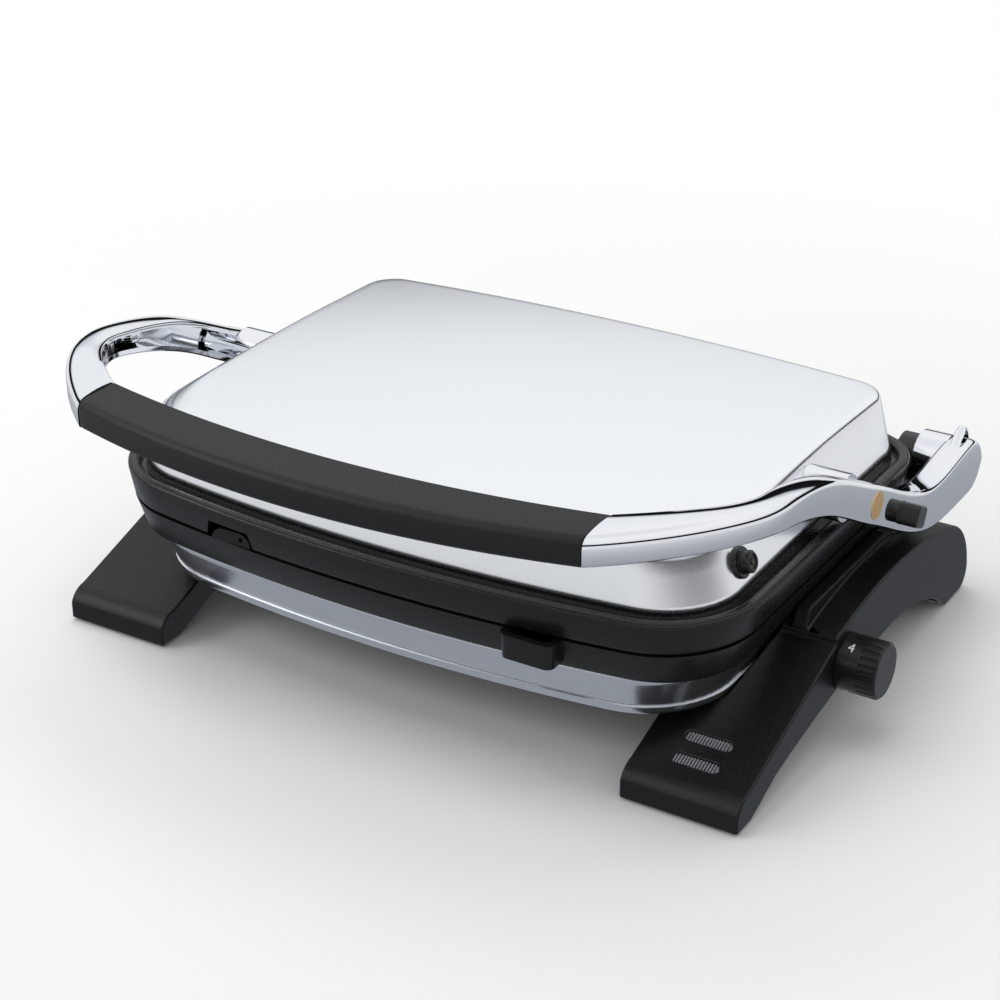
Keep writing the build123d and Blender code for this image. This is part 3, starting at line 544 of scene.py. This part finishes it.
# %% Rings of the lid
rings = [[] for _ in range(12)]
for i, (edge, share) in enumerate(crease):
    ahead, behind = crease[(i + 1) % len(crease)][0], crease[i - 1][0]
    inward = Vector((behind.y - ahead.y, ahead.x - behind.x)).normalized()
    softness = 2.2 + 5.0 * max(0, min(1, (150 - edge.y) / 150))
    foot = sides[0][i]
    for level in range(4):
        mix = level / 4 * (1 - softness / (lid_rise * share))
        spot = foot.lerp(edge, mix)
        rings[level].append(at(spot.x, spot.y, lid_low + lid_rise * share * mix))
    down = foot.lerp(edge, 1 - softness / (lid_rise * share))
    low = Vector((down.x, down.y, lid_low + lid_rise * share - softness))
    top = Vector((edge.x, edge.y, crown(edge)))
    inside = edge + inward * softness
    high = Vector((inside.x, inside.y, crown(inside)))
    for level, t in enumerate(spread(0, 1, 7)):
        curved = low.lerp(top, t).lerp(top.lerp(high, t), t)
        rings[level + 4].append(at(*curved))

middle = Vector((0, crown_depth))
last = [Vector((p.x / MM, p.y / MM - front_line)) for p in rings[-1]]
for scale in (0.97, 0.92, 0.84, 0.74, 0.62, 0.48, 0.32, 0.16):
    shrunk = [middle + (point - middle) * scale for point in last]
    rings.append([at(p.x, p.y, crown(p)) for p in shrunk])
print("rings of the lid:", len(rings))

# %% [markdown]
# The rings are bridged, and the last one is closed with a fan of triangles whose hub lies
# on the crown.

# %% Lid
bm = bmesh.new()
loops = [add_ring(bm, ring) for ring in rings]
bridge(bm, loops)
cap = bmesh.ops.contextual_create(bm, geom=loops[-1])["faces"]
hub = bmesh.ops.poke(bm, faces=cap)["verts"]
for vert in hub:
    vert.co = at(0, crown_depth, crown_top)
bmesh.ops.recalc_face_normals(bm, faces=bm.faces)
if max(bm.faces, key=lambda face: face.calc_center_median().z).normal.z < 0:
    bmesh.ops.reverse_faces(bm, faces=bm.faces)
lid = settle(bm, "lid_pressing", "lid_shell", smooth_below=60)
thicken(lid)
print("lid faces:", len(lid.data.polygons))

# %% [markdown]
# The lower housing is a drawn pan that narrows downwards and ends in a rolled band. Its
# skin is a stack of outlines too.

# %% Pan
pan_low, pan_high, rim_low, rim_draw = 32.0, 55.0, 55.3, 8.0


def pan_outline(height, grow):
    """Outline of the pan at a height, grown outwards."""
    draw = rim_draw * (rim_low - height) / (rim_low - pan_low)
    return tray(157 - draw + grow, 2 + draw - grow, 228.5 + grow, 48 - draw / 2 + grow,
                28 + grow)


levels = [(pan_low, 0.2), (pan_low + 0.4, 0.8), (pan_low + 1.2, 1.0), (pan_low + 3.8, 1.0),
          (pan_low + 4.6, 0.8), (pan_low + 5.0, 0.0), (pan_low + 8, 0.0), (44, 0.0),
          (50, 0.0), (pan_high, 0.0)]
bm = bmesh.new()
bridge(bm, [add_ring(bm, [at(p.x, p.y, height) for p in pan_outline(height, grow)])
            for height, grow in levels])
bmesh.ops.recalc_face_normals(bm, faces=bm.faces)
foremost = min(bm.faces, key=lambda face: face.calc_center_median().y)
if foremost.normal.y > 0:
    bmesh.ops.reverse_faces(bm, faces=bm.faces)
pan = settle(bm, "pan_pressing", "base_housing", smooth_below=50)
thicken(pan)
print("pan faces:", len(pan.data.polygons))

# %% [markdown]
# The arms are hollow castings with a C-shaped section that is open towards the lid. In
# plan each one leaves the grip, bends round the corner and runs straight back; seen from
# the side it sweeps down past the lid's pivot to the hinge. One section is drawn as a
# ring, carried along that path and fitted to the width and height at each station. The
# path comes first.

# %% Path of an arm
grip_end, bend_end, tail_radius = 129.5, 38, 14.5
top_line = ((-60.5, 148.0), (10, 148.5), (76, 138.0), (133, 112.5), (200, 82.5),
            (257, 84.5))
low_line = ((-60.5, 134.0), (25, 133.5), (76, 120.5), (133, 91.5), (200, 59.5),
            (257, 55.5))


def smooth_height(knots, depth):
    """Height of a smooth line through (depth, height) knots, level at both ends."""
    last_knot = len(knots) - 1
    here = max(i for i in range(last_knot) if knots[i][0] <= depth or i == 0)

    def slope(i):
        if i in (0, last_knot):
            return 0
        return (knots[i + 1][1] - knots[i - 1][1]) / (knots[i + 1][0] - knots[i - 1][0])

    (y0, z0), (y1, z1) = knots[here], knots[here + 1]
    span = y1 - y0
    t = max(0, min(1, (depth - y0) / span))
    return (z0 * (2 * t**3 - 3 * t**2 + 1) + z1 * (3 * t**2 - 2 * t**3)
            + span * slope(here) * (t**3 - 2 * t**2 + t)
            + span * slope(here + 1) * (t**3 - t**2))


def bend(start, stop, t):
    """Plan curve that leaves the grip forwards and sideways and ends running straight back."""
    chord = (stop - start).length
    leave, arrive = Vector((0.8, 0.6)) * chord, Vector((0, 1)) * chord
    return (start * (2 * t**3 - 3 * t**2 + 1) + stop * (3 * t**2 - 2 * t**3)
            + leave * (t**3 - 2 * t**2 + t) + arrive * (t**3 - t**2))


def arm_stations():
    """Inner and outer plan points along the right arm."""
    corner_out, corner_in = ([bend(Vector((grip_end, lead)), Vector((side, bend_end)), t)
                              for t in spread(0, 1, 22)]
                             for lead, side in ((front_arc[0], arm_outer),
                                                (back_arc[0], arm_inner)))
    tail = [hinge[0] + tail_radius * sin(turn) for turn in spread(0, 1.5, 10)]
    straight = spread(bend_end, hinge[0], 44)[1:] + tail[1:]
    return (list(zip(corner_in, corner_out))
            + [(Vector((arm_inner, y)), Vector((arm_outer, y))) for y in straight])


def tail_height(line, depth):
    """Height of the arm's top or low line, round the hinge at its tail."""
    if depth <= hinge[0]:
        return smooth_height(line, depth)
    rise = sqrt(max(0, tail_radius**2 - (depth - hinge[0])**2))
    return hinge[1] + rise if line is top_line else hinge[1] - rise


print("stations along an arm:", len(arm_stations()))

# %% [markdown]
# The section is a C with rounded outer corners. Its top is slightly crowned, which is what
# draws the long dark streak in the chrome, and its hollow starts behind the bend.

# %% Section of an arm, and its casting
def channel(width, height, hollow, soft_top):
    """C-shaped section: distances from the inner side and from the low side."""
    wall_mm = min(3.0, height * 0.3)
    soft_edge = min(2.2, height * 0.2)
    soft_top = min(soft_top, height * 0.3)
    lip = min(0.8, height * 0.1)

    def quarter(across, up, radius, first):
        return [(across + radius * cos(radians(a)), up + radius * sin(radians(a)))
                for a in spread(first, first + 90, 5)]

    points = [(0, lip), (lip, 0)]
    points += quarter(width - soft_edge, soft_edge, soft_edge, -90)
    points += quarter(width - soft_top, height - soft_top, soft_top, 0)
    points += [(across, height) for across in spread(width - soft_top, lip, 8)[1:]]
    points += [(0, height - lip), (0, height - wall_mm), (hollow, height - wall_mm),
               (hollow, wall_mm), (0, wall_mm)]
    crowned = min(1.2, height * 0.1)
    return [(across, up - crowned * (2 * across / width - 1)**2 * (up > height / 2))
            for across, up in points]


def build_arm(bm):
    """The right arm's casting, from the grip round to its tail."""
    rings = []
    for inner, outer in arm_stations():
        width = (outer - inner).length
        depth = (inner.y + outer.y) / 2
        height = tail_height(top_line, depth) - tail_height(low_line, depth)
        hollow = 0.3 + 10.5 * max(0, min(1, (depth - 30) / 30))
        soft_top = 2.0 + 3.5 * max(0, min(1, (60 - depth) / 60))
        ring = []
        for across, up in channel(width, height, hollow, soft_top):
            spot = inner.lerp(outer, across / width)
            low = tail_height(low_line, spot.y)
            high = tail_height(top_line, spot.y)
            ring.append(at(spot.x, spot.y, low + (high - low) * up / height))
        rings.append(add_ring(bm, ring))
    bridge(bm, rings)
    close_ends(bm, rings)


# %% [markdown]
# The hinge end is a round cup with a sleeve in it for the pin. A cup, a sleeve and a boss
# are all turned shapes, so each is a profile spun about its own axis. A small fin stands
# on the cup.

# %% Turned shapes, and both arms
def spin_profile(bm, profile, foot, axis, outwards, steps):
    """Spin (along, radius) points about an axis through a foot."""
    verts = [bm.verts.new(foot + (axis * along + outwards * radius) * MM)
             for along, radius in profile]
    edges = [bm.edges.new(pair) for pair in zip(verts, verts[1:])]
    bmesh.ops.spin(bm, geom=verts + edges, cent=foot, axis=axis, angle=2 * pi, steps=steps,
                   use_merge=True)


cup = [(172, 14.3), (157.5, 14.3), (157.0, 13.8), (157.0, 11.9), (157.4, 11.5), (181, 11.5)]
sleeve = [(181, 8.05), (159.4, 8.05), (159.0, 7.65), (159.0, 5.6), (181, 5.6)]
pivot_boss = [(181, 8.5), (170.4, 8.5), (170, 8.1), (170, 4.1), (181, 4.1)]
lock_boss = [(181, 6.7), (170.4, 6.7), (170, 6.3), (170, 4.6), (181, 4.6)]
sideways, backwards, upwards = Vector((1, 0, 0)), Vector((0, 1, 0)), Vector((0, 0, 1))

bm = bmesh.new()
build_arm(bm)
for profile, axis_place in ((cup, hinge), (sleeve, hinge), (pivot_boss, lid_pivot),
                            (lock_boss, lock)):
    spin_profile(bm, profile, at(0, *axis_place), sideways, upwards, steps=48)

fin_foot = 82
fin_side = [(246, fin_foot), (254.5, 90), (258, 91.2), (260.5, 89.5), (262, fin_foot)]
fin_slices = ((174.6, 2), (175.2, 0.6), (176.2, 0), (178, 0), (179, 0.6), (179.6, 2))
bridge(bm, [add_ring(bm, [at(x, depth, height - sink * (height > fin_foot))
                          for depth, height in fin_side]) for x, sink in fin_slices])
bmesh.ops.remove_doubles(bm, verts=bm.verts, dist=0.003 * MM)
bmesh.ops.recalc_face_normals(bm, faces=bm.faces)

left_bm = bm.copy()
bmesh.ops.scale(left_bm, vec=(-1, 1, 1), verts=left_bm.verts)
bmesh.ops.reverse_faces(left_bm, faces=left_bm.faces)
for side_bm, node in ((bm, "right_arm"), (left_bm, "left_arm")):
    arm = settle(side_bm, f"{node}_casting", node, smooth_below=40)
    print(node, "faces:", len(arm.data.polygons))

# %% [markdown]
# The steel core ends inside the arms. Its tongues are cut off a little short of the bend,
# so that nothing shows through the thin casting there.

# %% Core of the grip
core_end = 136
bm = welded_copy("grip_core")
for side in (-1, 1):
    cut = bmesh.ops.bisect_plane(bm, geom=bm.verts[:] + bm.edges[:] + bm.faces[:],
                                 plane_co=at(side * core_end, 0, 0), plane_no=(side, 0, 0),
                                 clear_outer=True)
    bmesh.ops.holes_fill(bm, edges=[e for e in cut["geom_cut"]
                                    if isinstance(e, bmesh.types.BMEdge)])
core = settle(bm, "grip_core_bar", "grip_core")
print("core faces:", len(core.data.polygons))

# %% [markdown]
# A peg on each side of the lid stops it from tipping too far between the arms. It is a
# turned part: a thin flange that lies on the leaning side of the lid, and a stub.

# %% Stop pegs
peg_foot, peg_lean = (153.6, 55, 100), (0.938, 0.347)
peg_profile = [(-3, 7.2), (1.4, 7.2), (1.9, 6.7), (1.9, 5.4), (2.2, 5.1), (5.8, 5.1),
               (6.7, 4.2), (6.7, 3.4), (6.0, 3.1), (6.0, 1.7), (6.7, 1.4), (6.7, 0.02)]
for node, side in (("left_stop_peg", -1), ("right_stop_peg", 1)):
    bm = bmesh.new()
    spin_profile(bm, peg_profile, at(side * peg_foot[0], *peg_foot[1:]),
                 Vector((side * peg_lean[0], 0, peg_lean[1])), backwards, steps=36)
    bmesh.ops.remove_doubles(bm, verts=bm.verts, dist=0.03 * MM)
    bmesh.ops.recalc_face_normals(bm, faces=bm.faces)
    peg = settle(bm, f"{node}_turned", node)
    print(node, "faces:", len(peg.data.polygons))

# %% [markdown]
# The grip is moulded over a steel core. Its top is flat enough for a thumb, its front
# edge is broadly rounded, and in plan it bows forwards with the lid. One rounded section
# is carried across along two arcs, one for the front and one for the back.

# %% Grip
grip_half, grip_low, grip_height = 129.2, 134, 14


def arc_depth(x, ends, middle_depth):
    """Depth of an arc through its two ends and its middle, at a place across."""
    sag = ends - middle_depth
    radius = (grip_half**2 + sag**2) / (2 * sag)
    return middle_depth + radius - sqrt(radius**2 - x**2)


def grip_section(depth, height):
    """Section of the grip: distances back from its front and up from its underside."""
    def quarter(back, up, radius, first):
        return [(back + radius * cos(radians(a)), up + radius * sin(radians(a)))
                for a in spread(first, first + 90, 6)]

    return (quarter(3, 3, 3, 180) + quarter(depth - 2, 2, 2, 270)
            + quarter(depth - 2, height - 2, 2, 0) + quarter(4.5, height - 4.5, 4.5, 90))


bm = bmesh.new()
rings = []
for x, tuck in ([(-grip_half, 0.6), (-128.8, 0.1)] + [(x, 0) for x in spread(-128, 128, 48)]
                + [(128.8, 0.1), (grip_half, 0.6)]):
    lead, back = arc_depth(x, *front_arc), arc_depth(x, *back_arc)
    section = grip_section(back - lead - 2 * tuck, grip_height - 2 * tuck)
    rings.append(add_ring(bm, [at(x, lead + tuck + d, grip_low + tuck + h)
                               for d, h in section]))
bridge(bm, rings)
close_ends(bm, rings)
bmesh.ops.remove_doubles(bm, verts=bm.verts, dist=0.003 * MM)
bmesh.ops.recalc_face_normals(bm, faces=bm.faces)
grip = settle(bm, "grip_moulding", "grip", smooth_below=40)
print("grip faces:", len(grip.data.polygons))

# %% [markdown]
# The two indicator lenses are sunk in their slots in the right leg. Fine ribs across each
# one spread the light of its lamp. A lens finds its own slant from the CAD piece.

# %% Lenses
lens_depth, lens_proud = 3.5, 0.4
lens_straight, lens_end = 8.5, 2.5
rib_top, rib_foot, rib_width = -0.6, -2.6, 0.8


def build_lens(node):
    """An oblong lens with fine ribs, sunk below the leg's ramp."""
    bm = welded_copy(node)
    up = max(bm.faces, key=lambda face: face.normal.z * face.calc_area()).normal.copy()
    low, high = (Vector([pick(vert.co[axis] for vert in bm.verts) for axis in range(3)])
                 for pick in (min, max))
    bm.free()
    back = up.cross(sideways)
    slot_face = (low + high) / 2 + (lens_depth - lens_proud) / 2 * MM * up
    bm = bmesh.new()
    rings = []
    profile = [(x + shift, rise) for x in spread(-10.6, 9.8, 14)
               for shift, rise in ((0, rib_foot), (0.02, rib_top), (rib_width - 0.02, rib_top),
                                   (rib_width, rib_foot))]
    for x, rise in profile:
        half = sqrt(lens_end**2 - max(0, abs(x) - lens_straight)**2)
        rings.append(add_ring(bm, [slot_face + (x * sideways + y * back + z * up) * MM
                                   for y, z in ((-half, -lens_depth), (half, -lens_depth),
                                                (half, rise), (-half, rise))]))
    bridge(bm, rings)
    close_ends(bm, rings)
    bmesh.ops.recalc_face_normals(bm, faces=bm.faces)
    return settle(bm, f"{node}_ribbed", node, smooth_below=20)


for node in ("power_lens", "ready_lens"):
    print(node, "faces:", len(build_lens(node).data.polygons))

# %% [markdown]
# The dial carries plain numbers for its heat settings on the smooth part of its rim. Each
# is a text that becomes a mesh and is wrapped round the rim, reading upwards along the
# turn, so that the number facing the cook stands upright.

# %% Numbers on the dial
dial, dial_middle = (108, 34), 189.6
dial_radius, print_radius, number_size = 13.6, 13.66, 6.5


def wrap_number(text, turn):
    """A number as a thin print on the dial's rim, at an angle in degrees round it."""
    curve = bpy.data.curves.new(f"number_{text}", "FONT")
    curve.body = text
    curve.size = number_size * MM
    curve.align_x = "CENTER"
    curve.align_y = "CENTER"
    letters = bpy.data.objects.new(f"number_{text}", curve)
    mesh = bpy.data.meshes.new_from_object(letters)
    bpy.data.objects.remove(letters)
    bm = bmesh.new()
    bm.from_mesh(mesh)
    bmesh.ops.subdivide_edges(bm, edges=bm.edges, cuts=2, use_grid_fill=False)
    bmesh.ops.triangulate(bm, faces=bm.faces)
    for vert in bm.verts:
        angle = radians(turn) - vert.co.y / (dial_radius * MM)
        vert.co = at(dial_middle + vert.co.x / MM, dial[0] + print_radius * cos(angle),
                     dial[1] + print_radius * sin(angle))
    bm.normal_update()
    print_mesh = bpy.data.meshes.new(f"dial_number_{text}")
    bm.to_mesh(print_mesh)
    bm.free()
    print_mesh.materials.append(ink)
    number = bpy.data.objects.new(f"dial_number_{text}", print_mesh)
    bpy.context.scene.collection.objects.link(number)
    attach(number, "dial")


facing, number_turn = 122, 108
for place, text in enumerate("420"):
    wrap_number(text, facing + place * number_turn)
print("numbers on the dial: 3")
